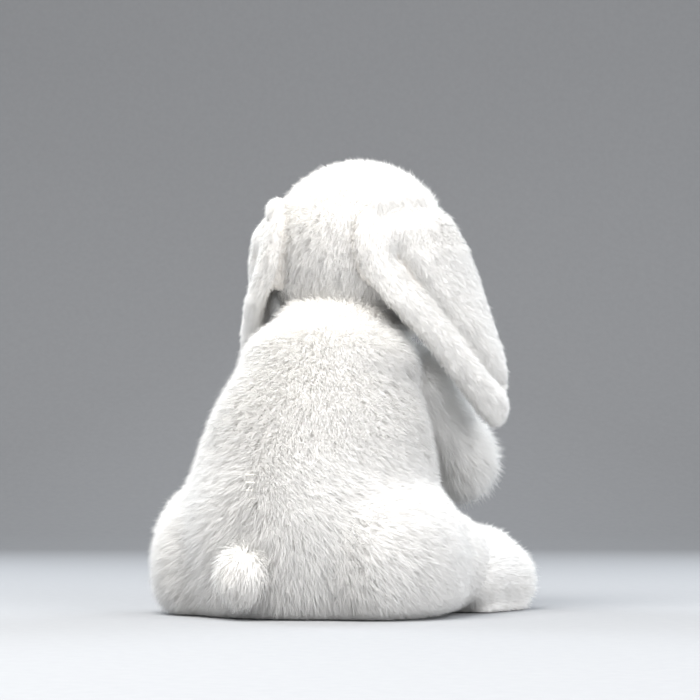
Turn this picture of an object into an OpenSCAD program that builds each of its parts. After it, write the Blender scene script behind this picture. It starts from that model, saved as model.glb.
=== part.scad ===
// Sitting lop-eared rabbit, stuffed: sewn fur-cloth panels over polyester filling, with a bag of
// pellets in the seat. It faces -Y with its left side at +X, and it sits on the plane z = 0.

/* [Torso] */
// Half width of the torso at its widest
torso_half_width = 57; // [52:0.5:60]
// Half depth of the torso at its widest
torso_half_depth = 56; // [50:0.5:60]
// Height of the neck opening
torso_height = 127; // [122:1:130]
// Thickness of the fur cloth, its backing and its packed pile together
cloth = 3; // [2:0.1:3.5]

/* [Head] */
// Radius of the round back of the head
skull_radius = 42.5; // [40:0.5:43]
// Height of the middle of the skull
skull_height = 173; // [172:0.5:178]
// Forward distance of the middle of the skull
skull_forward = 38; // [36:0.5:40]
// Radius of the eye's dome
eye_radius = 6.5; // [5:0.1:7]
// Number of whiskers on each side
whisker_count = 4; // [2:1:6]

/* [Ears] */
// Scale of an ear's width
ear_spread = 1; // [0.9:0.02:1]
// Half thickness of an ear
ear_half_thickness = 4.4; // [3:0.1:4.6]

/* [Arms] */
// Radius of the paw
paw_radius = 16; // [13:0.5:17]
// Radius of the round shoulder
shoulder_radius = 14; // [12:0.5:14.5]

/* [Legs] */
// Half width of a hind foot
foot_half_width = 15.5; // [13:0.5:16]
// Height of the toes
toe_height = 31; // [28:0.5:33]
// Half width of a haunch
haunch_half_width = 28; // [24:0.5:29]

/* [Tail] */
// Half height of the tail
tail_half_height = 14; // [11:0.5:15]

/* [Hidden] */

// Gap between two pieces that lie against each other
lay_gap = 0.3;
// Gap round a part that turns in a socket
joint_gap = 0.5;
x_axis = [1, 0, 0];
y_axis = [0, 1, 0];
z_axis = [0, 0, 1];
side_segments = 24;
white_pile = [0.94, 0.92, 0.87];
filling_white = [0.97, 0.97, 0.95];
thread_white = [0.88, 0.86, 0.80];

// A padded form is a list of rings: [centre, across, out, half size across, half size out, cup].
// across and out are the directions of the ring's own axes, and cup bends it like a shallow trough.
function unit(v) = v / norm(v);
function ring_point(ring, angle) =
    let (s = cos(angle), bend = -ring[5] * s * s)
    ring[0] + ring[3] * s * ring[1] + (ring[4] * sin(angle) + bend) * ring[2];

// The same form with its surface drawn in by the given depth, or pushed out by a negative one
function drawn_in(rings, depth) =
    let (
        first = rings[0][0],
        last = rings[len(rings) - 1][0],
        middle = (first + last) / 2,
        long = (norm(last - first) - 2 * depth) / norm(last - first),
        widest = max([for (r = rings) r[3]]),
        thickest = max([for (r = rings) r[4]])
    )
    [for (r = rings) [
        middle + long * (r[0] - middle), r[1], r[2],
        r[3] * (widest - depth) / widest, r[4] * (thickest - depth) / thickest, r[5]
    ]];

// A form that stands on a flat sole keeps every point above it
function above(points, floor_z) = [for (p = points) [p.x, p.y, max(p.z, floor_z)]];

function signed_volume(points, faces) =
    let (parts = [for (f = faces) points[f[0]] * cross(points[f[1]], points[f[2]])])
    parts * [for (p = parts) 1];

// A closed solid of triangles, turned so that they all face outward
module closed_solid(points, faces) {
    outward = signed_volume(points, faces) < 0 ? faces : [for (f = faces) [f[2], f[1], f[0]]];
    polyhedron(points = points, faces = outward);
}

// The whole form, closed by a flat end at its first and last rings
module filled(rings, sides = side_segments, floor_z = -1) {
    n = sides;
    last = (len(rings) - 1) * n;
    points = above(
        [for (r = rings) for (i = [0 : n - 1]) ring_point(r, 360 * i / n)], floor_z
    );
    walls = [for (k = [0 : len(rings) - 2]) for (i = [0 : n - 1])
        let (a = k * n + i, b = k * n + (i + 1) % n)
        each [[a, b, b + n], [a, b + n, a + n]]
    ];
    first_end = [for (i = [1 : n - 2]) [0, i + 1, i]];
    last_end = [for (i = [1 : n - 2]) [last, last + i, last + i + 1]];
    closed_solid(points, concat(walls, first_end, last_end));
}

// A sheet between two grids of points that have the same number of columns
module sheet_between(outer, inner, columns) {
    n = len(outer);
    rows = n / columns;
    skins = [for (r = [0 : rows - 2]) for (c = [0 : columns - 2])
        let (a = r * columns + c, b = a + 1, d = a + columns, e = d + 1)
        each [[a, b, e], [a, e, d], [n + a, n + e, n + b], [n + a, n + d, n + e]]
    ];
    sides = [for (r = [0 : rows - 2])
        let (a = r * columns, d = a + columns, b = a + columns - 1, e = b + columns)
        each [[a, d, n + d], [a, n + d, n + a], [e, b, n + b], [e, n + b, n + e]]
    ];
    ends = [for (c = [0 : columns - 2])
        let (a = c, b = c + 1, d = n - columns + c, e = d + 1)
        each [[b, a, n + a], [b, n + a, n + b], [d, e, n + e], [d, n + e, n + d]]
    ];
    closed_solid(concat(outer, inner), concat(skins, sides, ends));
}

// One cloth panel of a form, between two angles round its rings
module cloth_panel(rings, from, to, segments, floor_z = -1) {
    function swept(list) =
        [for (r = list) for (i = [0 : segments]) ring_point(r, from + (to - from) * i / segments)];
    sheet_between(
        above(swept(rings), floor_z), above(swept(drawn_in(rings, cloth)), floor_z), segments + 1
    );
}

// Left parts are drawn as they are, and right parts are their mirror images
module on_side(side) {
    if (side > 0) children();
    else mirror(x_axis) children();
}

// Turns the Z axis to lie along a direction
module pointing(direction) {
    d = unit(direction);
    rotate([0, acos(d.z), atan2(d.y, d.x)]) children();
}

// ---- Torso: an upright pear, its neck opening sloping down to the front ----

neck_slope = 0.28;
function torso_ring(height, width, depth, back) =
    let (rise = height / torso_height, slope = neck_slope * rise * rise)
    [[0, back, height], x_axis, [0, 1, slope], width * torso_half_width, depth * torso_half_depth, 0];
base_height = 3;
torso_rings = [
    torso_ring(base_height + 0.2, 0.88, 0.88, 6),
    torso_ring(12, 0.97, 0.97, 6),
    torso_ring(30, 1, 1, 6),
    torso_ring(50, 0.985, 0.98, 5),
    torso_ring(70, 0.94, 0.93, 3),
    torso_ring(90, 0.85, 0.82, -1),
    torso_ring(106, 0.73, 0.69, -5),
    torso_ring(118, 0.55, 0.53, -9),
    torso_ring(torso_height, 0.33, 0.32, -13)
];
belly_half_angle = 45;

// ---- Neck: a ball of filling between the two openings, where the head is sewn on ----

neck = [0, -20, 133];
neck_radius = 15.5;
module neck_socket() { translate(neck) sphere(r = neck_radius + joint_gap, $fn = 48); }

module neck_core() {
    color(filling_white) translate(neck) sphere(r = neck_radius, $fn = 48);
}

seam_thread = 0.6;
seam_drop = 4;
seam_tilt = 17;
module neck_seam() {
    color(thread_white) translate([0, neck.y, neck.z - seam_drop]) rotate([seam_tilt, 0, 0])
        rotate_extrude($fn = 48)
            translate([neck_radius + 2 * seam_thread + 0.2, 0]) circle(r = seam_thread, $fn = 16);
}

// ---- Arms: a round shoulder sunk in the chest, and a limb that hangs forward to the paw ----

shoulder = [30, -44, 112];
paw = [27, -88, 73];
arm_line = unit(paw - shoulder);
arm_length = norm(paw - shoulder);
function arm_ring(along, size) = [
    shoulder + along * arm_line, x_axis, cross(arm_line, x_axis), size, size, 0
];
arm_rings = concat(
    [for (a = [-80, -58, -30, 0, 25])
        arm_ring(shoulder_radius * sin(a), shoulder_radius * cos(a))],
    [
        arm_ring(12, 0.75 * paw_radius),
        arm_ring(26, 0.83 * paw_radius),
        arm_ring(arm_length - 14, 0.93 * paw_radius),
        arm_ring(arm_length, paw_radius),
        arm_ring(arm_length + 8, 0.86 * paw_radius),
        arm_ring(arm_length + 14, 0.48 * paw_radius),
        arm_ring(arm_length + 16, 0.1 * paw_radius)
    ]
);
module arm_socket() { translate(shoulder) sphere(r = shoulder_radius + joint_gap, $fn = 48); }
module both_arm_sockets() {
    arm_socket();
    mirror(x_axis) arm_socket();
}

module arm_outer(side) { color(white_pile) on_side(side) cloth_panel(arm_rings, -90, 90, 8); }
module arm_inner(side) { color(white_pile) on_side(side) cloth_panel(arm_rings, 90, 270, 8); }
module arm_stuffing(side) {
    color(filling_white) on_side(side) filled(drawn_in(arm_rings, cloth + lay_gap), 16);
}

// ---- Haunches: cups of fur cloth sewn on the torso's sides and filled ----

haunch_back = 6;
haunch_half_depth = 43;
function haunch_ring(height, out, width, depth) = [
    [out, haunch_back, height], x_axis, y_axis,
    width * haunch_half_width, depth * haunch_half_depth, 0
];
haunch_rings = [
    haunch_ring(1.2, 45, 0.8, 0.84),
    haunch_ring(10, 46, 0.95, 0.96),
    haunch_ring(24, 46, 1, 1),
    haunch_ring(38, 45, 0.96, 0.95),
    haunch_ring(50, 43, 0.82, 0.8),
    haunch_ring(58, 41, 0.6, 0.58),
    haunch_ring(63, 39, 0.25, 0.25)
];

// What the haunch is pressed against: the torso's side, the base's edge and the heel
module haunch_neighbours() {
    filled(drawn_in(torso_rings, -lay_gap));
    translate([0, 0, -1]) linear_extrude(base_height + 2) base_outline(lay_gap);
    heel_socket();
}

module haunch_skin(side) {
    color(white_pile) on_side(side) difference() {
        filled(haunch_rings);
        filled(drawn_in(haunch_rings, cloth));
        haunch_neighbours();
    }
}

module haunch_stuffing(side) {
    color(filling_white) on_side(side) difference() {
        filled(drawn_in(haunch_rings, cloth + lay_gap));
        haunch_neighbours();
    }
}

// ---- Hind feet: long padded feet whose round heels turn in the fronts of the haunches ----

sole_thickness = 3;
heel = [54, -42, 17];
heel_radius = 15.5;
// Room between the heel and its socket in the haunch
heel_room = 2;
toe_y = -79;
foot_floor = sole_thickness + lay_gap;
function heel_ring(back) =
    let (r = sqrt(pow(heel_radius, 2) - pow(back, 2)))
    [heel + [0, back, 0], x_axis, z_axis, r * foot_half_width / heel_radius, r, 0];
function foot_ring(y, half, top) =
    let (bottom = 0.5, tall = (top - bottom) / 2)
    [[heel.x, y, bottom + tall], x_axis, z_axis, half * foot_half_width, tall, 0];
foot_rings = concat(
    [for (back = [15, 12, 7, 1]) heel_ring(back)],
    [
        foot_ring(heel.y - 18, 0.97, toe_height + 3),
        foot_ring(toe_y, 1, toe_height),
        foot_ring(toe_y - 9, 0.85, toe_height - 4),
        foot_ring(toe_y - 14, 0.5, toe_height - 10),
        foot_ring(toe_y - 16, 0.15, toe_height - 14)
    ]
);
module heel_socket() { translate(heel) sphere(r = heel_radius + heel_room, $fn = 48); }

module foot_upper(side) {
    color(white_pile) on_side(side) cloth_panel(foot_rings, -52, 232, 14, foot_floor);
}

module foot_stuffing(side) {
    color(filling_white) on_side(side)
        filled(drawn_in(foot_rings, cloth + lay_gap), 16, foot_floor + lay_gap);
}

module foot_sole(side) {
    half = foot_half_width * 0.86;
    rear = heel.y - 3;
    front = toe_y - 2;
    color(white_pile) on_side(side) linear_extrude(sole_thickness)
        polygon(concat(
            [for (a = [0 : 15 : 180]) [heel.x + half * cos(a), rear + 5 * sin(a)]],
            [for (a = [180 : 15 : 360]) [heel.x + half * cos(a), front + half * sin(a)]]
        ));
}

// ---- Tail: a puff whose root sits in the rump's centre seam ----

tail_root = [0, 61, 24];
tail_root_radius = 7;
tail_centre = [0, 72.3, 20.5];
tail_half_width = 13;
tail_half_depth = 9.5;
tail_rings = [for (a = [-80 : 20 : 80]) [
    tail_centre + [0, 0, tail_half_height * sin(a)], x_axis, y_axis,
    tail_half_width * cos(a), tail_half_depth * cos(a), 0
]];
module tail_socket() { translate(tail_root) sphere(r = tail_root_radius + joint_gap, $fn = 48); }

module tail_skin() {
    color(white_pile) difference() {
        union() {
            filled(tail_rings, 16);
            translate(tail_root) sphere(r = tail_root_radius, $fn = 48);
        }
        filled(drawn_in(tail_rings, cloth), 16);
    }
}

module tail_stuffing() {
    color(filling_white) filled(drawn_in(tail_rings, cloth + lay_gap), 16);
}

// ---- Torso panels and what they hold ----

module torso_side(side) {
    color(white_pile) on_side(side) difference() {
        cloth_panel(torso_rings, -90 + belly_half_angle, 90, 9);
        arm_socket();
        tail_socket();
    }
}

module belly_panel() {
    color(white_pile) difference() {
        cloth_panel(torso_rings, -90 - belly_half_angle, -90 + belly_half_angle, 6);
        both_arm_sockets();
        neck_socket();
    }
}

module base_outline(grow) {
    ring = torso_rings[0];
    polygon([for (i = [0 : side_segments - 1])
        let (a = 360 * i / side_segments)
        [(ring[3] + grow) * cos(a), ring[0].y + (ring[4] + grow) * sin(a)]
    ]);
}

module base_panel() { color(white_pile) linear_extrude(base_height) base_outline(0); }

bag_bottom = 8;
bag_radius = 34;
bag_roll = 12;
bag_cloth = 1;
// Outline of a flat round bag, from the axis out round its edge and back to the axis
function bag_outline(depth) = concat(
    [[0, bag_roll - depth]],
    [for (a = [90 : -15 : -90])
        [bag_radius - bag_roll + (bag_roll - depth) * cos(a), (bag_roll - depth) * sin(a)]],
    [[0, depth - bag_roll]]
);
module bag_form(depth) {
    translate([0, torso_rings[0][0].y, bag_bottom + bag_roll])
        rotate_extrude($fn = 48) polygon(bag_outline(depth));
}

module pellet_bag() {
    color("linen") difference() {
        bag_form(0);
        bag_form(bag_cloth);
    }
}

module pellets() { color("whitesmoke") bag_form(bag_cloth + lay_gap); }

module torso_stuffing() {
    color(filling_white) difference() {
        filled(drawn_in(torso_rings, cloth + lay_gap));
        bag_form(-lay_gap);
        both_arm_sockets();
        neck_socket();
        tail_socket();
    }
}

// Ladder stitches that close the filling slit in the centre seam of the back
stitch_count = 7;
stitch_radius = 0.4;
stitch_length = 4;
module closing_stitches() {
    low = 44;
    pitch = 3.5;
    seam_y = torso_rings[2][0].y + torso_half_depth + 0.6;
    color(thread_white) for (i = [0 : stitch_count - 1])
        translate([-stitch_length / 2, seam_y - 0.0006 * pow(i * pitch, 2), low + i * pitch])
            rotate([0, 90, 0]) cylinder(r = stitch_radius, h = stitch_length, $fn = 16);
}

// ---- Head: two sides, a gusset from nose to nape and a chin panel round a ball of filling ----

skull = [0, -skull_forward, skull_height];
function skull_ring(y) =
    let (r = sqrt(pow(skull_radius, 2) - pow(y - skull.y, 2)))
    [[0, y, skull.z], x_axis, z_axis, r, r, 0];
function face_ring(forward, drop, wide, tall) = [
    [0, skull.y - forward, skull.z - drop], x_axis, z_axis, wide, tall, 0
];
head_rings = concat(
    [for (a = [88, 70, 52, 34, 16, 0, -14]) skull_ring(skull.y + skull_radius * sin(a))],
    [
        face_ring(22, 4, 33.5, 36),
        face_ring(34, 10, 26, 27),
        face_ring(46, 14.5, 21, 21),
        face_ring(56, 16, 15, 15),
        face_ring(62, 15.5, 7.5, 8),
        face_ring(64, 15, 1.5, 1.5)
    ]
);
gusset_half_angle = 36;
chin_half_angle = 45;

module head_gusset() {
    color(white_pile) cloth_panel(head_rings, 90 - gusset_half_angle, 90 + gusset_half_angle, 4);
}

module chin_panel() {
    color(white_pile) difference() {
        cloth_panel(head_rings, 270 - chin_half_angle, 270 + chin_half_angle, 6);
        neck_socket();
    }
}

module head_side(side) {
    color(white_pile) on_side(side) difference() {
        cloth_panel(head_rings, -90 + chin_half_angle, 90 - gusset_half_angle, 7);
        ear_root(joint_gap);
        eye_seat();
    }
}

module head_stuffing() {
    color(filling_white) difference() {
        filled(drawn_in(head_rings, cloth + lay_gap), 20);
        neck_socket();
        for (side = [1, -1]) on_side(side) eye_pocket();
    }
}

// Eyes: domes on ridged shanks that washers lock behind the cloth
eye_place = [31.5, -61, 180];
eye_facing = [0.86, -0.46, 0.2];
shank_radius = 1.8;
washer_radius = 7.5;
washer_depth = 6.5;
washer_thickness = 1.5;
module at_eye() { translate(eye_place) pointing(eye_facing) children(); }
module eye_seat() {
    at_eye() {
        translate([0, 0, -0.8]) cylinder(r = eye_radius + 0.2, h = 12, $fn = 32);
        translate([0, 0, -12]) cylinder(r = shank_radius + 0.2, h = 14, $fn = 32);
    }
}
module eye_pocket() {
    at_eye() translate([0, 0, -washer_depth - 6])
        cylinder(r = washer_radius + lay_gap, h = washer_depth + 8, $fn = 32);
}

module eye(side) {
    bulge = 3.5;
    dome_radius = (pow(eye_radius, 2) + pow(bulge, 2)) / (2 * bulge);
    color([0.05, 0.03, 0.02]) on_side(side) at_eye() {
        translate([0, 0, -0.6]) cylinder(r = eye_radius, h = 0.6, $fn = 32);
        intersection() {
            translate([0, 0, bulge - dome_radius]) sphere(r = dome_radius, $fn = 48);
            cylinder(r = eye_radius, h = bulge, $fn = 32);
        }
        translate([0, 0, -11.6]) cylinder(r = shank_radius, h = 11.2, $fn = 32);
        for (z = [-11 : 1.5 : -8]) translate([0, 0, z]) cylinder(r = shank_radius + 0.3, h = 0.6, $fn = 32);
    }
}

module eye_washer(side) {
    color("ivory") on_side(side) at_eye() translate([0, 0, -washer_depth - washer_thickness / 2])
        difference() {
            cylinder(r = washer_radius, h = washer_thickness, $fn = 48);
            translate([0, 0, -1]) cylinder(r = shank_radius + 0.05, h = washer_thickness + 2, $fn = 48);
        }
}

nose_front = head_rings[len(head_rings) - 1][0] - [0, 0.4, 0];
module nose() {
    wide = 6.5;
    tall = 4;
    color([0.86, 0.62, 0.60]) translate(nose_front + [0, 0, 2]) rotate([90, 0, 0])
        linear_extrude(2.2) polygon(concat(
            [for (a = [20 : 20 : 160]) [wide * cos(a), 1 + 2.4 * sin(a)]],
            [for (a = [210 : 20 : 330]) [2 * cos(a), 1.5 * sin(a) - tall + 1]]
        ));
}

module mouth_stitches() {
    run = 5;
    place = nose_front + [0, 0, -3];
    color([0.72, 0.52, 0.50]) translate(place) {
        translate([0, -0.6, -run]) cylinder(r = 0.5, h = run, $fn = 16);
        for (lean = [-52, 52]) translate([0, -0.6, -run]) rotate([0, 180 + lean, 0])
            cylinder(r = 0.5, h = run + 1, $fn = 16);
    }
}

whisker_root = [15.5, -91, 156];
whisker_length = 46;
module whiskers(side) {
    color("white") on_side(side) for (i = [0 : whisker_count - 1]) {
        spread = i - (whisker_count - 1) / 2;
        translate(whisker_root + [0, 2.5 * (i % 2), 2.6 * spread])
            pointing([0.93, -0.12, -0.34 + 0.16 * spread])
                cylinder(r1 = 0.3, r2 = 0.12, h = whisker_length, $fn = 16);
    }
}

// ---- Ears: long lop ears, fur cloth outside and short-pile lining inside ----

ear_root_place = [33, -16.5, 195];
ear_root_line = unit([0.45, -0.88, 0.15]);
ear_root_radius = 4.4;
ear_root_half = 14;
// The root of an ear is a sewn roll, which turns in its slit in the head
module ear_root(gap) {
    translate(ear_root_place) pointing(ear_root_line) translate([0, 0, -ear_root_half - gap])
        cylinder(r = ear_root_radius + gap, h = 2 * (ear_root_half + gap), $fn = 48);
}
// From root to tip: [rear edge, front edge, bulge of the middle, share of the thickness]
ear_line = [
    [[26, -3, 192.5], [39.5, -29, 197], 0, 0.45],
    [[21, 2, 177], [47, -41, 189], 8.5, 0.9],
    [[23, 3, 162], [52, -50, 174], 9, 1],
    [[33, -1, 146], [54, -57, 156], 6, 1],
    [[43, -12, 130], [55.5, -63, 138], 4, 1],
    [[49.5, -26, 113], [57, -69, 120], 3, 1],
    [[54, -40, 98], [58, -72, 104], 2, 0.95],
    [[56.5, -51, 89], [58, -68, 92], 1, 0.8],
    [[57.5, -58, 86], [57.8, -62, 86.5], 0, 0.5]
];
ear_columns = 9;
// Point on a surface of the ear, lift mm inward from its middle sheet, at column c across it
function ear_point(k, c, lift) =
    let (
        s = ear_line[k],
        middle = (s[0] + s[1]) / 2,
        across = (s[1] - s[0]) / 2,
        before = ear_line[max(k - 1, 0)],
        after = ear_line[min(k + 1, len(ear_line) - 1)],
        along = (after[0] + after[1]) - (before[0] + before[1]),
        outward = unit(cross(across, along)),
        t = 2 * c / (ear_columns - 1) - 1,
        thin = s[3] * (1 - 0.7 * t * t)
    )
    middle + t * ear_spread * across + (s[2] * (1 - t * t) - lift * thin) * outward;
function ear_grid(lift) =
    [for (k = [0 : len(ear_line) - 1]) for (c = [0 : ear_columns - 1]) ear_point(k, c, lift)];
half_gap = 0.1;

module ear_outer(side) {
    color(white_pile) on_side(side) {
        difference() {
            sheet_between(ear_grid(-ear_half_thickness), ear_grid(-half_gap), ear_columns);
            ear_root(0);
        }
        ear_root(0);
    }
}

module ear_lining(side) {
    color([0.93, 0.86, 0.80]) on_side(side) difference() {
        sheet_between(ear_grid(half_gap), ear_grid(ear_half_thickness), ear_columns);
        ear_root(lay_gap);
    }
}

base_panel();
belly_panel();
torso_side(1);  // torso_left_panel
torso_side(-1);  // torso_right_panel
torso_stuffing();
pellet_bag();
pellets();
closing_stitches();
haunch_skin(1);  // haunch_left
haunch_skin(-1);  // haunch_right
haunch_stuffing(1);  // haunch_stuffing_left
haunch_stuffing(-1);  // haunch_stuffing_right
neck_core();
neck_seam();
head_gusset();
chin_panel();
head_side(1);  // head_left_panel
head_side(-1);  // head_right_panel
head_stuffing();
eye(1);  // eye_left
eye(-1);  // eye_right
eye_washer(1);  // eye_washer_left
eye_washer(-1);  // eye_washer_right
nose();
mouth_stitches();
whiskers(1);  // whiskers_left
whiskers(-1);  // whiskers_right
ear_outer(1);  // ear_outer_left
ear_outer(-1);  // ear_outer_right
ear_lining(1);  // ear_lining_left
ear_lining(-1);  // ear_lining_right
arm_outer(1);  // arm_outer_left
arm_outer(-1);  // arm_outer_right
arm_inner(1);  // arm_inner_left
arm_inner(-1);  // arm_inner_right
arm_stuffing(1);  // arm_stuffing_left
arm_stuffing(-1);  // arm_stuffing_right
foot_upper(1);  // foot_upper_left
foot_upper(-1);  // foot_upper_right
foot_sole(1);  // foot_sole_left
foot_sole(-1);  // foot_sole_right
foot_stuffing(1);  // foot_stuffing_left
foot_stuffing(-1);  // foot_stuffing_right
tail_skin();
tail_stuffing();
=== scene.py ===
import math

import bmesh
import bpy
import numpy as np
from mathutils import Matrix, Vector
from mathutils.bvhtree import BVHTree
from mathutils.kdtree import KDTree


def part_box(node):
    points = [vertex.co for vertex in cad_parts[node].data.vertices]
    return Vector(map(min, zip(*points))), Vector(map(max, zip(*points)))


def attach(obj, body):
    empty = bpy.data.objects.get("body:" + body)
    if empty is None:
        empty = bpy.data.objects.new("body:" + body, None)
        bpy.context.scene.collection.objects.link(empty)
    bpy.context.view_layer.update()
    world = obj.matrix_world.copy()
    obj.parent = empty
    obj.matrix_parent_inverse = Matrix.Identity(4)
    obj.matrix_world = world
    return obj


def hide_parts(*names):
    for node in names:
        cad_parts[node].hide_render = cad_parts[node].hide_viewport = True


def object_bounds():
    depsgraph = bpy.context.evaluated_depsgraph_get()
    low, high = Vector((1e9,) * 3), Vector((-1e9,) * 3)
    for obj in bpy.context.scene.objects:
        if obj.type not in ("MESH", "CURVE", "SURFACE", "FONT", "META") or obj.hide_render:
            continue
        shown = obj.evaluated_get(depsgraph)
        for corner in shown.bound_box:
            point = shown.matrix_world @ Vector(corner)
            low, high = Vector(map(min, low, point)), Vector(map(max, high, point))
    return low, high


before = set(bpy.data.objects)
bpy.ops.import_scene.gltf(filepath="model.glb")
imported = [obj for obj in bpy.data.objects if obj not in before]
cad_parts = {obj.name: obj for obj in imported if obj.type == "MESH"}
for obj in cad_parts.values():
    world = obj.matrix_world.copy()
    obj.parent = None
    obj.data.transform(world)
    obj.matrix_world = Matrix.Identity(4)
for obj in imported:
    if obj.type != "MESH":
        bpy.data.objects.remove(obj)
cad_low, cad_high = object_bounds()
mm = 0.001
sides = {"left": 1, "right": -1}

# ---- Fibre filling ----------------------------------------------------------------------
# Loose crimped polyester fibre, pushed into every part through a slit and held by the cloth
# round it. The neck is a firm ball of the same fibre, where the head is sewn on.


class Signal:
    """A socket of a finish. Arithmetic on it adds Math nodes, and node() adds any other."""

    def __init__(self, tree, socket=None):
        self.tree = tree
        self.socket = socket

    def node(self, kind, settings=None, sockets=None, out=0):
        made = self.tree.nodes.new(kind)
        for name, value in (settings or {}).items():
            setattr(made, name, value)
        for name, value in (sockets or {}).items():
            if isinstance(value, Signal):
                self.tree.links.new(value.socket, made.inputs[name])
            else:
                made.inputs[name].default_value = value
        return Signal(self.tree, made.outputs[out] if out is not None else None)

    def calculate(self, operation, first, second):
        return self.node("ShaderNodeMath", {"operation": operation}, {0: first, 1: second})

    def __add__(self, other):
        return self.calculate("ADD", self, other)

    def __mul__(self, other):
        return self.calculate("MULTIPLY", self, other)

    def __rsub__(self, other):
        return self.calculate("SUBTRACT", other, self)

    __radd__ = __add__
    __rmul__ = __mul__

    def between(self, low, high):
        """The colour this far from low to high."""
        return self.node("ShaderNodeMix", {"data_type": "RGBA"}, {0: self, 6: low, 7: high}, 2)

    def noise(self, size, detail=2.0):
        """Soft noise with lumps of this size, in metres."""
        place = self.node("ShaderNodeTexCoord", out="Object")
        return self.node(
            "ShaderNodeTexNoise", {}, {"Vector": place, "Scale": 1 / size, "Detail": detail}
        )

    def bump(self, height, depth, strength=0.6):
        """The normal of a surface with that relief, depth metres deep."""
        return self.node(
            "ShaderNodeBump", {}, {"Height": height, "Distance": depth, "Strength": strength}
        )


def finish(name, varying, plain, through=0.0):
    """A finish: varying(start) gives what changes over the surface, and plain is the rest.

    through is the share of the light that passes through instead of coming back.
    """
    made = bpy.data.materials.new(name)
    made.use_nodes = True
    made.node_tree.nodes.clear()
    start = Signal(made.node_tree)
    shader = start.node("ShaderNodeBsdfPrincipled", {}, {**plain, **varying(start)})
    if through:
        veil = start.node("ShaderNodeBsdfTranslucent", {}, {"Color": (0.97, 0.96, 0.94, 1)})
        shader = start.node("ShaderNodeMixShader", {}, {0: through, 1: shader, 2: veil})
    start.node("ShaderNodeOutputMaterial", {}, {"Surface": shader}, None)
    return made


def fibre_look(start):
    crimp = start.noise(1.2 * mm, 4.0)
    return {
        "Base Color": crimp.between((0.80, 0.80, 0.78, 1), (0.95, 0.95, 0.93, 1)),
        "Normal": start.bump(crimp, 0.8 * mm),
    }


def dress(node, material):
    """Gives a carried-over CAD node its finish."""
    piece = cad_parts[node]
    piece.data.materials.clear()
    piece.data.materials.append(material)


fibre = finish("crimped_fibre", fibre_look, {"Roughness": 0.9})
fibre_nodes = ["torso_stuffing", "head_stuffing", "neck_core", "tail_stuffing"]
for side in sides:
    fibre_nodes += [f"{part}_stuffing_{side}" for part in ("haunch", "arm", "foot")]
for node in fibre_nodes:
    dress(node, fibre)

# ---- Seat weight ------------------------------------------------------------------------
# A flat bag of thin cotton with small polyethylene pellets in it, which lies on the base
# panel so that the rabbit sits firmly. Neither shows from outside.


def pellet_look(start):
    place = start.node("ShaderNodeTexCoord", out="Object")
    grains = start.node(
        "ShaderNodeTexVoronoi", {}, {"Vector": place, "Scale": 1 / (3 * mm)}, "Distance"
    )
    return {
        "Base Color": grains.between((0.93, 0.93, 0.91, 1), (0.62, 0.62, 0.60, 1)),
        "Normal": start.bump(1 - grains, 1.2 * mm, 1.0),
    }


def weave(start, pitch):
    """The relief of a plain weave with that many metres between its threads."""
    place = start.node("ShaderNodeTexCoord", out="Object")
    warp = start.node(
        "ShaderNodeTexWave", {"bands_direction": "X"}, {"Vector": place, "Scale": 0.31 / pitch}, 1
    )
    weft = start.node(
        "ShaderNodeTexWave", {"bands_direction": "Z"}, {"Vector": place, "Scale": 0.31 / pitch}, 1
    )
    return warp * 0.5 + weft * 0.5


def cotton_look(start):
    threads = weave(start, 0.6 * mm)
    return {
        "Base Color": threads.between((0.70, 0.65, 0.55, 1), (0.90, 0.86, 0.78, 1)),
        "Normal": start.bump(threads, 0.2 * mm),
    }


dress("pellets", finish("pellet_grains", pellet_look, {"Roughness": 0.45}))
dress("pellet_bag", finish("thin_cotton", cotton_look, {"Roughness": 0.9}))

# ---- Sewing thread ----------------------------------------------------------------------
# Twisted white polyester thread: a ladder stitch closes the filling slit in the back seam,
# and a ring of it sews the head to the neck.


def thread_look(start, dark, light):
    place = start.node("ShaderNodeTexCoord", out="Object")
    twist = start.node(
        "ShaderNodeTexWave",
        {"bands_direction": "DIAGONAL"},
        {"Vector": place, "Scale": 0.31 / (0.5 * mm), "Distortion": 0.6},
        1,
    )
    return {"Base Color": twist.between(dark, light), "Normal": start.bump(twist, 0.15 * mm)}


def white_thread_look(start):
    return thread_look(start, (0.66, 0.63, 0.56, 1), (0.90, 0.88, 0.82, 1))


white_thread = finish("white_thread", white_thread_look, {"Roughness": 0.6})
for node in ("closing_stitches", "neck_seam"):
    dress(node, white_thread)

# ---- Body cloth -------------------------------------------------------------------------
# Knitted backing cloth of the torso and the two cupped haunches, sewn edge to edge and filled
# until it is round. The filling's pressure is simulated, and the seams hold the cloth back.


def settle(piece):
    """Makes what a piece's modifiers show its own mesh."""
    shown = piece.evaluated_get(bpy.context.evaluated_depsgraph_get())
    mesh = bpy.data.meshes.new_from_object(shown)
    piece.modifiers.clear()
    piece.data = mesh


def places(mesh):
    """The places of a mesh's points as rows of an array."""
    flat = np.empty(3 * len(mesh.vertices))
    mesh.vertices.foreach_get("co", flat)
    return flat.reshape(-1, 3)


def drop_inner_shells(mesh):
    """Keeps only the outermost of the separate shells that a mesh is made of."""
    work = bmesh.new()
    work.from_mesh(mesh)
    unseen, shells = set(work.verts), []
    while unseen:
        shell, edge_of_shell = set(), [unseen.pop()]
        while edge_of_shell:
            point = edge_of_shell.pop()
            shell.add(point)
            for edge in point.link_edges:
                other = edge.other_vert(point)
                if other in unseen:
                    unseen.remove(other)
                    edge_of_shell.append(other)
        shells.append(shell)
    shells.sort(key=len)
    bmesh.ops.delete(work, geom=[p for shell in shells[:-1] for p in shell], context="VERTS")
    work.to_mesh(mesh)
    work.free()


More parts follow.
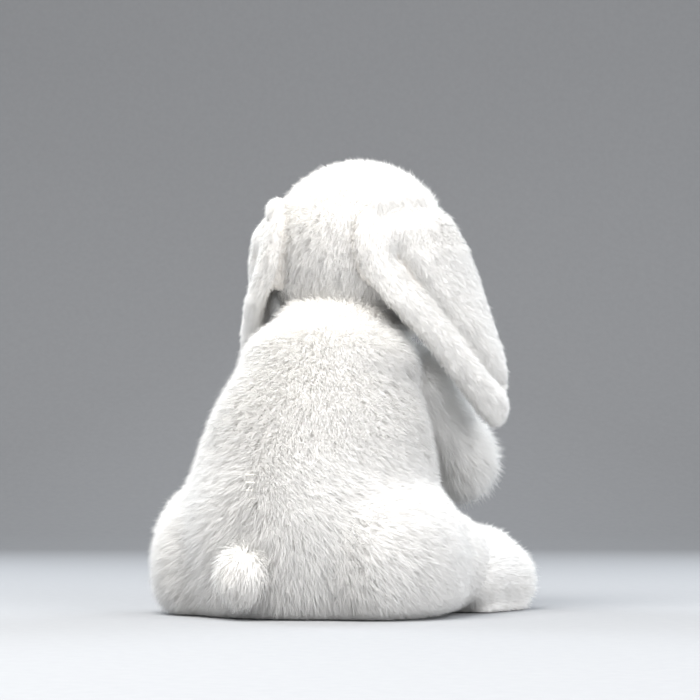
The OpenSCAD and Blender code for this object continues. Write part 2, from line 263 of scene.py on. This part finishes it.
def sewn_form(name, nodes, voxel, rounds, pads=()):
    """One closed cloth form round the given CAD panels, fillings and pads, its edges rounded."""
    work = bmesh.new()
    for node in nodes:
        work.from_mesh(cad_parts[node].data)
    for centre, radii, turn in pads:
        size = Matrix.Diagonal((*radii, 1))
        bmesh.ops.create_icosphere(
            work, subdivisions=4, radius=1, matrix=Matrix.Translation(centre) @ turn @ size
        )
    piece = bpy.data.objects.new(name, bpy.data.meshes.new(name))
    work.to_mesh(piece.data)
    work.free()
    bpy.context.scene.collection.objects.link(piece)
    remesh = piece.modifiers.new("one_skin", "REMESH")
    remesh.mode = "VOXEL"
    remesh.voxel_size = voxel
    soften = piece.modifiers.new("soft_edges", "SMOOTH")
    soften.iterations = rounds
    settle(piece)
    drop_inner_shells(piece.data)
    return piece


def surface(mesh):
    """A mesh in the form that finds the place on it nearest to a point."""
    corners = [face.vertices[:] for face in mesh.polygons]
    return BVHTree.FromPolygons([point.co[:] for point in mesh.vertices], corners)


def nearest_panel(points, panels):
    """The index of the CAD panel that each point lies nearest to."""
    gaps = []
    for panel in panels:
        cloth = surface(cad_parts[panel].data)
        gaps.append([cloth.find_nearest(point)[3] for point in points])
    return np.argmin(np.array(gaps), axis=0)


filling_pressure = 4
filling_moments = 20
seam_hold = 0.8


def fill_out(piece, panels, most, floor=0.0):
    """Lets the filling press the cloth out by up to most metres. Seams between panels hold."""
    start = places(piece.data)
    owner = nearest_panel(start, panels)
    ends = np.array([edge.vertices[:] for edge in piece.data.edges])
    seam = ends[owner[ends[:, 0]] != owner[ends[:, 1]]]
    held = piece.vertex_groups.new(name="seams")
    held.add(np.unique(seam).tolist(), seam_hold, "REPLACE")
    cloth = piece.modifiers.new("filling", "CLOTH")
    cloth.settings.quality = 4
    cloth.settings.mass = 0.15
    cloth.settings.vertex_group_mass = "seams"
    cloth.settings.use_pressure = True
    cloth.settings.uniform_pressure_force = filling_pressure
    cloth.settings.effector_weights.gravity = 0
    for moment in range(1, filling_moments + 1):
        bpy.context.scene.frame_set(moment)
    settle(piece)
    step = places(piece.data) - start
    size = np.linalg.norm(step, axis=1, keepdims=True)
    moved = start + step * np.minimum(1, most / np.maximum(size, 1e-9))
    moved[:, 2] = np.maximum(moved[:, 2], floor)
    piece.data.vertices.foreach_set("co", moved.ravel())
    bpy.context.scene.frame_set(1)


def knit_look(start):
    loops = weave(start, 0.7 * mm)
    return {
        # The backing is a little darker and warmer than the pile: painted shade where it shows deep
        # between the strands.
        "Base Color": loops.between((0.90, 0.885, 0.86, 1), (0.95, 0.94, 0.92, 1)),
        "Normal": start.bump(loops, 0.25 * mm),
    }


knit = finish("knitted_backing", knit_look, {"Roughness": 0.95})


def cover(piece, body, material, nodes):
    """Finishes a padded piece: its cloth, the body it rides on and the CAD it stands for."""
    piece.data.materials.clear()
    piece.data.materials.append(material)
    piece.data.shade_smooth()
    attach(piece, body)
    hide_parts(*nodes)


torso_panels = ["torso_left_panel", "torso_right_panel", "belly_panel", "base_panel"]
body_panels = torso_panels + ["haunch_left", "haunch_right"]
body_nodes = body_panels + ["torso_stuffing", "pellet_bag", "pellets"]
body_nodes += ["haunch_stuffing_left", "haunch_stuffing_right"]
neck_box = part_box("neck_core")
neck_middle = (neck_box[0] + neck_box[1]) / 2
upright = Matrix.Identity(4)
body_pads = [(neck_middle + Vector((0, 11, -17)) * mm, Vector((41, 37, 24)) * mm, upright)]
for half in sides.values():
    knee = Vector((53 * half, -26, 24)) * mm
    body_pads.append((knee, Vector((17, 28, 22)) * mm, upright))
body_cloth = sewn_form("body_cloth", body_nodes, 3.6 * mm, 11, body_pads)
fill_out(body_cloth, body_panels, 2.5 * mm, 0.3 * mm)
cover(body_cloth, "torso", knit, body_panels)

# The rounded cloth lies a little inside its flat panels, and the ladder stitches lie on it.
stitches = bpy.data.objects.new("ladder_stitches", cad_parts["closing_stitches"].data.copy())
bpy.context.scene.collection.objects.link(stitches)
flat_back = [surface(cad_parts[panel].data) for panel in torso_panels[:2]]
full_back = surface(body_cloth.data)
for point in stitches.data.vertices:
    under = min((back.find_nearest(point.co) for back in flat_back), key=lambda hit: hit[3])[0]
    point.co += full_back.find_nearest(under)[0] - under
stitches.data.materials.clear()
stitches.data.materials.append(white_thread)
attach(stitches, "torso")
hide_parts("closing_stitches")

# ---- Body pile --------------------------------------------------------------------------
# Long soft acrylic pile, knitted into the backing. It lies down the back, fans out over the
# rump and the haunches, and is longest low down.

chance = np.random.default_rng(20)
strands_at_most = 66_000


def unit(rows):
    return rows / np.maximum(np.linalg.norm(rows, axis=1, keepdims=True), 1e-9)


def roots_on(piece, wanted, per_mm2):
    """Evenly spread places on the wanted triangles of a piece, with the cloth's normals."""
    mesh = piece.data
    mesh.calc_loop_triangles()
    corners = np.empty(3 * len(mesh.loop_triangles), int)
    mesh.loop_triangles.foreach_get("vertices", corners)
    corners = corners.reshape(-1, 3)
    normal = np.empty(3 * len(mesh.vertices))
    mesh.vertices.foreach_get("normal", normal)
    normal = normal.reshape(-1, 3)
    point = places(mesh)
    a, b, c = (point[corners[:, k]] for k in range(3))
    corners = corners[wanted((a + b + c) / 3, unit(np.cross(b - a, c - a)))]
    a, b, c = (point[corners[:, k]] for k in range(3))
    area = np.linalg.norm(np.cross(b - a, c - a), axis=1) / 2
    count = min(int(area.sum() / mm**2 * per_mm2), strands_at_most)
    pick = chance.choice(len(area), count, p=area / area.sum())
    u, v = chance.random((2, count, 1))
    u, v = np.where(u + v > 1, 1 - u, u), np.where(u + v > 1, 1 - v, v)
    share = np.stack([1 - u - v, u, v], axis=1)
    ids = corners[pick]
    return (point[ids] * share).sum(1), unit((normal[ids] * share).sum(1))


def tufts(points, size):
    """For each strand the one that leads its tuft, with about this many strands in a tuft."""
    leaders = max(1, int(len(points) / size))
    tree = KDTree(leaders)
    for k in range(leaders):
        tree.insert(points[k], k)
    tree.balance()
    return np.array([tree.find(point)[1] for point in points])


strands_in_tuft = 14
sunk = 0.3 * mm
ground = 0.2 * mm
strand_faces = np.array([[0, 1, 2], [0, 2, 3], [3, 2, 4]])


def strands(name, roots, normals, comb, length, rise, width, gather, material):
    """A piece of pile. Each strand is a flat tapered ribbon that rises and then lies over."""
    count = len(roots)
    tuft = tufts(roots, strands_in_tuft)
    tuft_draw = chance.normal(size=(count, 3))[tuft]
    flow = comb - normals * (comb * normals).sum(1, keepdims=True)
    flow = unit(unit(flow) + 0.14 * tuft_draw + 0.22 * chance.normal(size=(count, 3)))
    flow = unit(flow - normals * (flow * normals).sum(1, keepdims=True))
    long = length * (1 + 0.16 * chance.normal(size=count)).clip(0.55, 1.35)
    first = rise + 0.18 * chance.normal(size=count) + 0.08 * tuft_draw[:, 0]
    first = first.clip(0.15, 1.5)[:, None]
    second = (first - 0.45).clip(0.02, 1.3)
    low = unit(flow * np.cos(first) + normals * np.sin(first))
    high = unit(flow * np.cos(second) + normals * np.sin(second))
    middle = roots + low * long[:, None] * 0.5
    tip = middle + high * long[:, None] * 0.5
    pull = gather * chance.random((count, 1))
    tip = tip + (tip[tuft] - tip) * pull
    middle = middle + (middle[tuft] - middle) * pull * 0.4
    lean = chance.uniform(-0.6, 0.6, (count, 1))
    across = unit(np.cross(low, normals))
    across = unit(across * np.cos(lean) + normals * np.sin(lean))
    half = 0.5 * width * chance.uniform(0.75, 1.25, (count, 1))
    base = roots - normals * sunk
    rows = [base - across * half, base + across * half]
    rows += [middle + across * half * 0.8, middle - across * half * 0.8, tip]
    point = np.stack(rows, axis=1)
    point[:, :, 2] = np.maximum(point[:, :, 2], ground)
    corners = (np.arange(count)[:, None, None] * 5 + strand_faces).ravel()
    mesh = bpy.data.meshes.new(name)
    mesh.vertices.add(5 * count)
    mesh.vertices.foreach_set("co", point.ravel())
    mesh.loops.add(9 * count)
    mesh.loops.foreach_set("vertex_index", corners)
    mesh.polygons.add(3 * count)
    mesh.polygons.foreach_set("loop_start", np.arange(0, 9 * count, 3))
    tone = 0.5 + 0.12 * tuft_draw[:, 1] + 0.16 * chance.normal(size=count)
    tone = tone.clip(0.02, 0.98)[:, None]
    sideways = np.array([-1, 1, 1, -1, 0]) * 0.0015
    upward = np.array([0.02, 0.02, 0.5, 0.5, 0.98])
    chart = np.stack([tone + sideways, np.broadcast_to(upward, (count, 5))], axis=2)
    layer = mesh.uv_layers.new(name="OFBake")
    layer.data.foreach_set("uv", chart.reshape(-1, 2)[corners].ravel())
    mesh.update(calc_edges=True)
    mesh.polygons.foreach_set("use_smooth", np.ones(3 * count, bool))
    facing = unit(normals + 0.10 * tuft_draw + 0.12 * chance.normal(size=(count, 3)))
    facing = np.repeat(facing[:, None], 5, axis=1)
    facing[:, 4] = unit(facing[:, 4] + 0.35 * high)
    mesh.normals_split_custom_set_from_vertices(facing.reshape(-1, 3).tolist())
    mesh.materials.append(material)
    piece = bpy.data.objects.new(name, mesh)
    bpy.context.scene.collection.objects.link(piece)
    return piece


def pile_look(start, root, dull, bright):
    chart = start.node("ShaderNodeUVMap", {"uv_map": "OFBake"})
    tone = start.node("ShaderNodeSeparateXYZ", {}, {0: chart}, 0)
    along = start.node("ShaderNodeSeparateXYZ", {}, {0: chart}, 1)
    # Over the lower 60% of each strand the colour runs from the root colour up to the strand's own
    # tone; the darker, warmer root colour is painted shade deep in the pile.
    rise = along.node("ShaderNodeMapRange", {}, {0: along, 1: 0.0, 2: 0.6, 3: 0.0, 4: 1.0})
    return {"Base Color": rise.between(root, tone.between(dull, bright))}


def white_pile_look(start):
    # The first colour, a little darker and warmer, is the painted shade at the strands' roots; the
    # other two bound their random tone.
    return pile_look(start, (0.95, 0.935, 0.91, 1), (0.96, 0.95, 0.93, 1), (0.985, 0.98, 0.97, 1))


soft_sheen = {"Roughness": 0.7, "Sheen Weight": 0.3, "Sheen Roughness": 0.5}
soft_sheen["Specular IOR Level"] = 0.25
white_pile = finish("white_pile", white_pile_look, soft_sheen, 0.45)


def ramp(values, start, end):
    """Rises smoothly from 0 to 1 as the values go from start to end."""
    share = ((values - start) / (end - start)).clip(0, 1)
    return share * share * (3 - 2 * share)


rump_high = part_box("closing_stitches")[1]
fan_centre = np.array([0, rump_high.y - 8 * mm, rump_high.z + 2 * mm])
seat_level = 3 * mm


def body_comb(points):
    """Down and a little outward over the back, and fanning out from the middle of the rump."""
    low = ramp(points[:, 2], 85 * mm, 50 * mm)[:, None]
    down = unit(np.stack([points[:, 0] * 4, points[:, 1] * 0, -np.ones(len(points))], 1))
    fan = unit(points - fan_centre) + np.array([0, 0, -0.25])
    return down * (1 - low) + unit(fan) * low


def body_length(points):
    low = ramp(points[:, 2], 80 * mm, 40 * mm)
    rear = ramp(points[:, 1], -10 * mm, 30 * mm)
    near_floor = ramp(points[:, 2], 1 * mm, 12 * mm)
    chest = ramp(points[:, 1], -25 * mm, -45 * mm) * ramp(points[:, 2], 60 * mm, 90 * mm)
    flank = ramp(np.abs(points[:, 0]), 40 * mm, 68 * mm)
    return (7 + 4 * low * rear - chest - 3.5 * flank) * (0.55 + 0.45 * near_floor) * mm


def pile_piece(name, cloth, body, wanted, per_mm2, comb, length, rise=1.05, width=0.26 * mm,
               gather=0.15, material=white_pile):
    """Grows the pile of one part of a cloth form and lets it ride on its body."""
    roots, normals = roots_on(cloth, wanted, per_mm2)
    piece = strands(
        name, roots, normals, comb(roots), length(roots), rise, width, gather, material
    )
    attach(piece, body)
    return piece


def body_part(panels, half, low, high):
    """Picks the triangles of some panels, on one side and between two heights."""

    def wanted(points, normals):
        owner = nearest_panel(points, body_panels)
        mine = np.isin(owner, [body_panels.index(panel) for panel in panels])
        bare = (normals[:, 2] < -0.8) & (points[:, 2] < seat_level)
        level = (points[:, 2] >= low) & (points[:, 2] < high)
        return mine & level & (points[:, 0] * half >= 0) & ~bare

    return wanted


waist = 62 * mm
top = 1.0
for side, half in sides.items():
    parts = {
        f"rump_pile_{side}": body_part(torso_panels, half, 0, waist),
        f"back_pile_{side}": body_part(torso_panels, half, waist, top),
        f"haunch_pile_{side}": body_part([f"haunch_{side}"], half, 0, top),
    }
    for name, wanted in parts.items():
        pile_piece(name, body_cloth, "torso", wanted, 5.0, body_comb, body_length)

# ---- Neck -------------------------------------------------------------------------------
# Loose cloth gathered round the neck ball where the head is sewn on, with the same pile. It
# turns with the neck, so the head's seam stays covered.

neck_pad = (neck_middle + Vector((0, 4, -2)) * mm, Vector((30, 27, 19)) * mm, upright)
neck_cloth = sewn_form("neck_cloth", [], 3 * mm, 2, [neck_pad])
cover(neck_cloth, "neck", knit, [])


def neck_comb(points):
    return np.tile([0.0, 0.25, -1.0], (len(points), 1))


def outer_rim(points, normals):
    return np.abs(normals[:, 2]) < 0.93


pile_piece(
    "neck_pile", neck_cloth, "neck", outer_rim, 3.2, neck_comb,
    lambda points: np.full(len(points), 7 * mm),
)

# ---- Head -------------------------------------------------------------------------------
# Two side panels, a gusset over the crown and a chin panel, filled hard. The pile runs back
# from the nose over the forehead and then down the nape, and is clipped short on the muzzle.

head_panels = ["head_gusset", "chin_panel", "head_left_panel", "head_right_panel"]
nose_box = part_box("nose")
nose_tip = np.array((nose_box[0] + nose_box[1]) / 2)
cheek_pads = []
for half in sides.values():
    cheek = Vector(nose_tip) + Vector((10 * half, 15, -7)) * mm
    cheek_pads.append((cheek, Vector((9, 12, 10)) * mm, upright))
head_cloth = sewn_form(
    "head_cloth", head_panels + ["head_stuffing"], 3.4 * mm, 5, cheek_pads
)
fill_out(head_cloth, head_panels, 1.5 * mm)
cover(head_cloth, "head", knit, head_panels)

eye_middles = {}
for side in sides:
    low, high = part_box(f"eye_{side}")
    eye_middles[side] = np.array(
        [(high.x if side == "left" else low.x), (low.y + high.y) / 2, (low.z + high.z) / 2]
    )
eye_clear = 9 * mm


def head_comb(points):
    back = unit(points - nose_tip)
    rear = ramp(points[:, 1], -45 * mm, -15 * mm)[:, None]
    return back * (1 - 0.5 * rear) + np.array([0, 0, -1.0]) * (0.15 + 0.85 * rear)


def head_length(points):
    from_nose = np.linalg.norm(points - nose_tip, axis=1)
    full = ramp(from_nose, 6 * mm, 60 * mm)
    length = (2.2 + 4.3 * full) * mm
    for middle in eye_middles.values():
        length *= 0.45 + 0.55 * ramp(np.linalg.norm(points - middle, axis=1), eye_clear, 20 * mm)
    return length


def head_wanted(points, normals):
    clear = np.ones(len(points), bool)
    for middle in eye_middles.values():
        clear &= np.linalg.norm(points - middle, axis=1) > eye_clear * 0.72
    return clear & (np.linalg.norm(points - nose_tip, axis=1) > 4.5 * mm)


pile_piece("head_pile", head_cloth, "head", head_wanted, 5.0, head_comb, head_length)

# ---- Eyes -------------------------------------------------------------------------------
# Moulded dark brown domes on ridged shanks. A hard washer pressed on each shank inside the
# head locks it behind the cloth.


def eye_look(start):
    cloud = start.noise(4 * mm)
    return {"Base Color": cloud.between((0.012, 0.007, 0.005, 1), (0.035, 0.018, 0.010, 1))}


def washer_look(start):
    cloud = start.noise(2 * mm)
    return {
        "Base Color": cloud.between((0.82, 0.79, 0.70, 1), (0.90, 0.88, 0.80, 1)),
        "Normal": start.bump(cloud, 0.05 * mm),
    }


eye_shell = finish("eye_shell", eye_look, {"Roughness": 0.06, "Coat Weight": 1.0, "IOR": 1.5})
washer_plastic = finish("washer_plastic", washer_look, {"Roughness": 0.5})
for side in sides:
    dress(f"eye_{side}", eye_shell)
    dress(f"eye_washer_{side}", washer_plastic)

# ---- Nose and mouth ---------------------------------------------------------------------
# The nose is a small pad of pink velour glued and stitched to the muzzle's tip. The mouth is
# three long stitches of pink thread below it.


def velour_look(start):
    nap = start.noise(0.5 * mm, 3.0)
    return {
        "Base Color": nap.between((0.72, 0.43, 0.42, 1), (0.88, 0.62, 0.60, 1)),
        "Normal": start.bump(nap, 0.2 * mm),
    }


def pink_thread_look(start):
    return thread_look(start, (0.52, 0.30, 0.30, 1), (0.76, 0.52, 0.50, 1))


velour = finish("pink_velour", velour_look, {"Roughness": 0.85, "Sheen Weight": 0.4})
nose_pad = sewn_form("nose_pad", ["nose"], 0.45 * mm, 10)
cover(nose_pad, "head", velour, ["nose"])
pink_thread = finish("pink_thread", pink_thread_look, {"Roughness": 0.6})
dress("mouth_stitches", pink_thread)

# ---- Whiskers ---------------------------------------------------------------------------
# Four fine nylon filaments on each cheek, knotted inside the head. They leave the muzzle
# sideways and droop under their own weight.


def nylon_look(start):
    cloud = start.noise(3 * mm)
    return {"Base Color": cloud.between((0.88, 0.88, 0.87, 1), (0.97, 0.97, 0.96, 1))}


nylon = finish("clear_nylon", nylon_look, {"Roughness": 0.25})
whisker_count = 4
for side, half in sides.items():
    low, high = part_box(f"whiskers_{side}")
    near = low.x if half > 0 else high.x
    outline = bpy.data.curves.new(f"whisker_hairs_{side}", "CURVE")
    outline.dimensions = "3D"
    outline.bevel_depth = 0.16 * mm
    outline.bevel_resolution = 2
    for k in range(whisker_count):
        spread = k - (whisker_count - 1) / 2
        start = Vector((near + half * 1 * mm, high.y - 2 * mm, (low.z + high.z) / 2 + 8 * mm))
        start += Vector((0, -1.2 * mm * (k % 2), 2.4 * mm * spread))
        reach = (30 - 2.5 * abs(spread)) * mm
        line = outline.splines.new("POLY")
        steps = 12
        line.points.add(steps)
        for i in range(steps + 1):
            t = i / steps
            drop = (4 + 20 * t) * t * mm - spread * 3 * mm * t
            place = start + Vector((half * reach * math.sin(1.3 * t), -3 * mm * t, -drop))
            line.points[i].co = (*place, 1)
            line.points[i].radius = 1 - 0.7 * t
    hairs = bpy.data.objects.new(f"whisker_hairs_{side}", outline)
    bpy.context.scene.collection.objects.link(hairs)
    outline.materials.append(nylon)
    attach(hairs, "head")
    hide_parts(f"whiskers_{side}")

# ---- Ears -------------------------------------------------------------------------------
# Long pads of fur cloth outside and short-pile lining inside, sewn round the edge and turned.
# The rear edge is rolled, so a soft ridge runs along it beside a groove, and a small lobe fills
# the ear out behind its root.

ear_rear_edge = [
    (21, 2, 177), (23, 3, 162), (33, -1, 146), (43, -12, 130), (49.5, -26, 113),
    (54, -40, 98), (57, -58, 87),
]
fold_from_edge = 19 * mm
fold_depth = 5.5 * mm
fold_half_width = 4.5 * mm
ridge_from_edge = 8 * mm
ridge_height = 2.2 * mm
ridge_half_width = 6 * mm


def edge_reading(points, half):
    """How far each point is from the ear's rear edge, and the edge's direction there."""
    line = np.array(ear_rear_edge) * mm * np.array([half, 1, 1])
    best = np.full(len(points), np.inf)
    along = np.zeros((len(points), 3))
    for a, b in zip(line[:-1], line[1:]):
        share = (((points - a) @ (b - a)) / ((b - a) @ (b - a))).clip(0, 1)
        gap = np.linalg.norm(points - a - share[:, None] * (b - a), axis=1)
        nearer = gap < best
        best[nearer] = gap[nearer]
        along[nearer] = (b - a) / np.linalg.norm(b - a)
    return best, along


def lining_look(start):
    # The first colour, darker and warmer, is the painted shade at the lining strands' roots; the
    # other two bound their random tone.
    return pile_look(start, (0.92, 0.86, 0.80, 1), (0.94, 0.90, 0.85, 1), (0.97, 0.95, 0.92, 1))


lining_pile = finish("lining_pile", lining_look, soft_sheen, 0.4)
for side, half in sides.items():
    ear_nodes = [f"ear_outer_{side}", f"ear_lining_{side}"]
    root_middle = Vector((30 * half, -17.5, 190)) * mm
    root_line = Vector((0.45 * half, -0.88, 0.15))
    root_turn = root_line.to_track_quat("Z", "Y").to_matrix().to_4x4()
    ear_pads = [(root_middle, Vector((4.5, 4.5, 18)) * mm, root_turn)]
    lobe_middle = Vector((23.5 * half, -5, 173)) * mm
    ear_pads.append((lobe_middle, Vector((7.5, 9, 19)) * mm, upright))
    ear_cloth = sewn_form(f"ear_cloth_{side}", ear_nodes, 1.7 * mm, 12, ear_pads)
    point = places(ear_cloth.data)
    normal = np.empty(point.size)
    ear_cloth.data.vertices.foreach_get("normal", normal)
    normal = normal.reshape(-1, 3)
    gap, _ = edge_reading(point, half)
    outside = (nearest_panel(point, ear_nodes) == 0) & (normal[:, 0] * half > -0.2)
    below_root = ramp(point[:, 2], 182 * mm, 165 * mm)
    groove = np.exp(-(((gap - fold_from_edge) / fold_half_width) ** 2)) * outside * below_root
    ridge = np.exp(-(((gap - ridge_from_edge) / ridge_half_width) ** 2)) * outside * below_root
    ridge *= ramp(point[:, 2], 90 * mm, 110 * mm)
    point = point + normal * (ridge_height * ridge - fold_depth * groove)[:, None]
    hang = ramp(point[:, 2], 185 * mm, 90 * mm)
    point = point + np.outer(hang, [5 * half, 0, 3.5]) * mm
    ear_cloth.data.vertices.foreach_set("co", point.ravel())
    ear_cloth.data.update()
    cover(ear_cloth, f"ear_{side}", knit, ear_nodes)

    def is_outer(points, normals):
        return nearest_panel(points, ear_nodes) == 0

    def is_lining(points, normals):
        return ~is_outer(points, normals)

    def ear_comb(points):
        return edge_reading(points, half)[1] + np.array([0, 0, -0.15])

    pile_piece(
        f"ear_pile_{side}", ear_cloth, f"ear_{side}", is_outer, 5.5, ear_comb,
        lambda points: np.full(len(points), 3.8 * mm), 0.75, 0.26 * mm, 0.15,
    )
    pile_piece(
        f"ear_lining_pile_{side}", ear_cloth, f"ear_{side}", is_lining, 5.5, ear_comb,
        lambda points: np.full(len(points), 2.4 * mm), 0.7, 0.28 * mm, 0.1,
        lining_pile,
    )

# ---- Arms -------------------------------------------------------------------------------
# An outer and an inner panel each, filled softly and sewn into the chest at the shoulder. The
# pile runs down to the paw and is longer there.

for side, half in sides.items():
    arm_panels = [f"arm_outer_{side}", f"arm_inner_{side}"]
    arm_cloth = sewn_form(f"arm_cloth_{side}", arm_panels + [f"arm_stuffing_{side}"], 2.8 * mm, 4)
    fill_out(arm_cloth, arm_panels, 1.2 * mm)
    cover(arm_cloth, f"arm_{side}", knit, arm_panels)
    low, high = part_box(f"arm_outer_{side}")
    reach = np.array([0, low.y - high.y, low.z - high.z])
    reach /= np.linalg.norm(reach)
    arm_top = np.array([0, high.y, high.z])

    def arm_length(points):
        share = ramp((points - arm_top) @ reach, 30 * mm, 85 * mm)
        return (6.5 + 4 * share) * mm

    pile_piece(
        f"arm_pile_{side}", arm_cloth, f"arm_{side}", lambda points, normals: points[:, 2] > 0,
        2.6, lambda points: np.tile(reach, (len(points), 1)), arm_length,
    )

# ---- Hind feet --------------------------------------------------------------------------
# A long upper of fur cloth sewn to a flat sole of the same cloth, whose underside is shaved
# bare so that it lies flat. The round heel is sewn into the front of the haunch.

for side, half in sides.items():
    foot_panels = [f"foot_upper_{side}", f"foot_sole_{side}"]
    instep_pad = (Vector((54.5 * half, -56, 20)) * mm, Vector((14, 28, 18)) * mm, upright)
    foot_cloth = sewn_form(
        f"foot_cloth_{side}", foot_panels + [f"foot_stuffing_{side}"], 2.8 * mm, 7, [instep_pad]
    )
    fill_out(foot_cloth, foot_panels, 1.2 * mm, 0.3 * mm)
    cover(foot_cloth, f"foot_{side}", knit, foot_panels)

    def foot_wanted(points, normals):
        return ~((normals[:, 2] < -0.8) & (points[:, 2] < seat_level))

    def foot_length(points):
        return (4 + 2.5 * ramp(points[:, 2], 1 * mm, 12 * mm)) * mm

    pile_piece(
        f"foot_pile_{side}", foot_cloth, f"foot_{side}", foot_wanted, 2.6,
        lambda points: np.tile([0.0, -1.0, -0.25], (len(points), 1)), foot_length,
    )

# ---- Tail -------------------------------------------------------------------------------
# A small filled puff of long pile, gathered at its root and sewn into the rump's seam. The
# pile of the rump grows over its edge and half hides it.

tail_share = 0.75
tail_cloth = sewn_form("tail_cloth", ["tail_skin", "tail_stuffing"], 2.2 * mm, 20)
tail_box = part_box("tail_skin")
tail_root = np.array([0, tail_box[0].y, (tail_box[0].z + tail_box[1].z) / 2])
shrunk = tail_root + (places(tail_cloth.data) - tail_root) * tail_share
tail_cloth.data.vertices.foreach_set("co", shrunk.ravel())
tail_cloth.data.update()
cover(tail_cloth, "tail", knit, ["tail_skin", "tail_stuffing"])
pile_piece(
    "tail_pile", tail_cloth, "tail", lambda points, normals: points[:, 2] > 0, 5.0,
    body_comb, lambda points: np.full(len(points), 10 * mm), 0.6,
)

# ---- Stage ------------------------------------------------------------------------------
# A pale matte table that curves up behind, a key lamp high on one side, a fill lamp low on the
# other, two rim lamps at the far side, and a low camera behind the rabbit's right shoulder.


def table_look(start):
    speckle = start.noise(6 * mm, 3.0)
    return {"Base Color": speckle.between((0.25, 0.255, 0.265, 1), (0.28, 0.285, 0.295, 1))}


view_turn = math.radians(210)
back_way = Vector((math.sin(view_turn), -math.cos(view_turn), 0))
right_way = Vector((math.cos(view_turn), math.sin(view_turn), 0))
table_mesh = bmesh.new()
rows = [(2.5, 0.0), (-1.2, 0.0)]
rows += [(-1.2 - 0.6 * math.sin(a), 0.6 - 0.6 * math.cos(a)) for a in np.linspace(0.2, 1.57, 8)]
rows.append((-1.8, 2.6))
for away, height in rows:
    for across in (-3.0, 3.0):
        table_mesh.verts.new(back_way * away + right_way * across + Vector((0, 0, height - 0.0002)))
table_mesh.verts.ensure_lookup_table()
for k in range(len(rows) - 1):
    table_mesh.faces.new([table_mesh.verts[2 * k + j] for j in (0, 1, 3, 2)])
table = bpy.data.objects.new("table", bpy.data.meshes.new("table"))
table_mesh.to_mesh(table.data)
table_mesh.free()
table.data.shade_smooth()
table.data.materials.append(finish("matte_table", table_look, {"Roughness": 0.9}))
bpy.context.scene.collection.objects.link(table)

middle = Vector((0, 0, 0.5 * cad_high.z))


def lamp(name, turn, lift, distance, size, power, colour):
    """A square soft lamp, turned in degrees from the camera's side and aimed at the rabbit."""
    data = bpy.data.lights.new(name, "AREA")
    data.size = size
    data.energy = power
    data.color = colour
    made = bpy.data.objects.new(name, data)
    angle, rise = view_turn + math.radians(turn), math.radians(lift)
    way = Vector(
        (math.sin(angle) * math.cos(rise), -math.cos(angle) * math.cos(rise), math.sin(rise))
    )
    made.location = middle + way * distance
    made.rotation_euler = way.to_track_quat("Z", "Y").to_euler()
    bpy.context.scene.collection.objects.link(made)


lamp("key_lamp", -30, 55, 1.1, 0.8, 28, (1.0, 0.985, 0.96))
lamp("fill_lamp", 45, 20, 1.4, 1.0, 17, (0.97, 0.98, 1.0))
lamp("left_rim_lamp", -130, 30, 1.1, 0.5, 8, (0.86, 0.93, 1.0))
lamp("right_rim_lamp", 135, 35, 1.1, 0.5, 8, (0.86, 0.93, 1.0))

world = bpy.data.worlds.new("studio")
world.use_nodes = True
world.node_tree.nodes["Background"].inputs["Color"].default_value = (0.88, 0.89, 0.91, 1)
world.node_tree.nodes["Background"].inputs["Strength"].default_value = 0.6
bpy.context.scene.world = world
bpy.context.scene.view_settings.view_transform = "Standard"

camera_data = bpy.data.cameras.new("camera")
camera_distance = 1.1
view_width = 332 * mm
camera_data.lens = camera_data.sensor_width * camera_distance / view_width
camera = bpy.data.objects.new("camera", camera_data)
aim = Vector((0, 0, 124.5 * mm)) + right_way * 14 * mm
camera.location = aim + back_way * camera_distance
camera.location.z = 58 * mm
camera.rotation_euler = (camera.location - aim).to_track_quat("Z", "Y").to_euler()
bpy.context.scene.collection.objects.link(camera)
bpy.context.scene.camera = camera
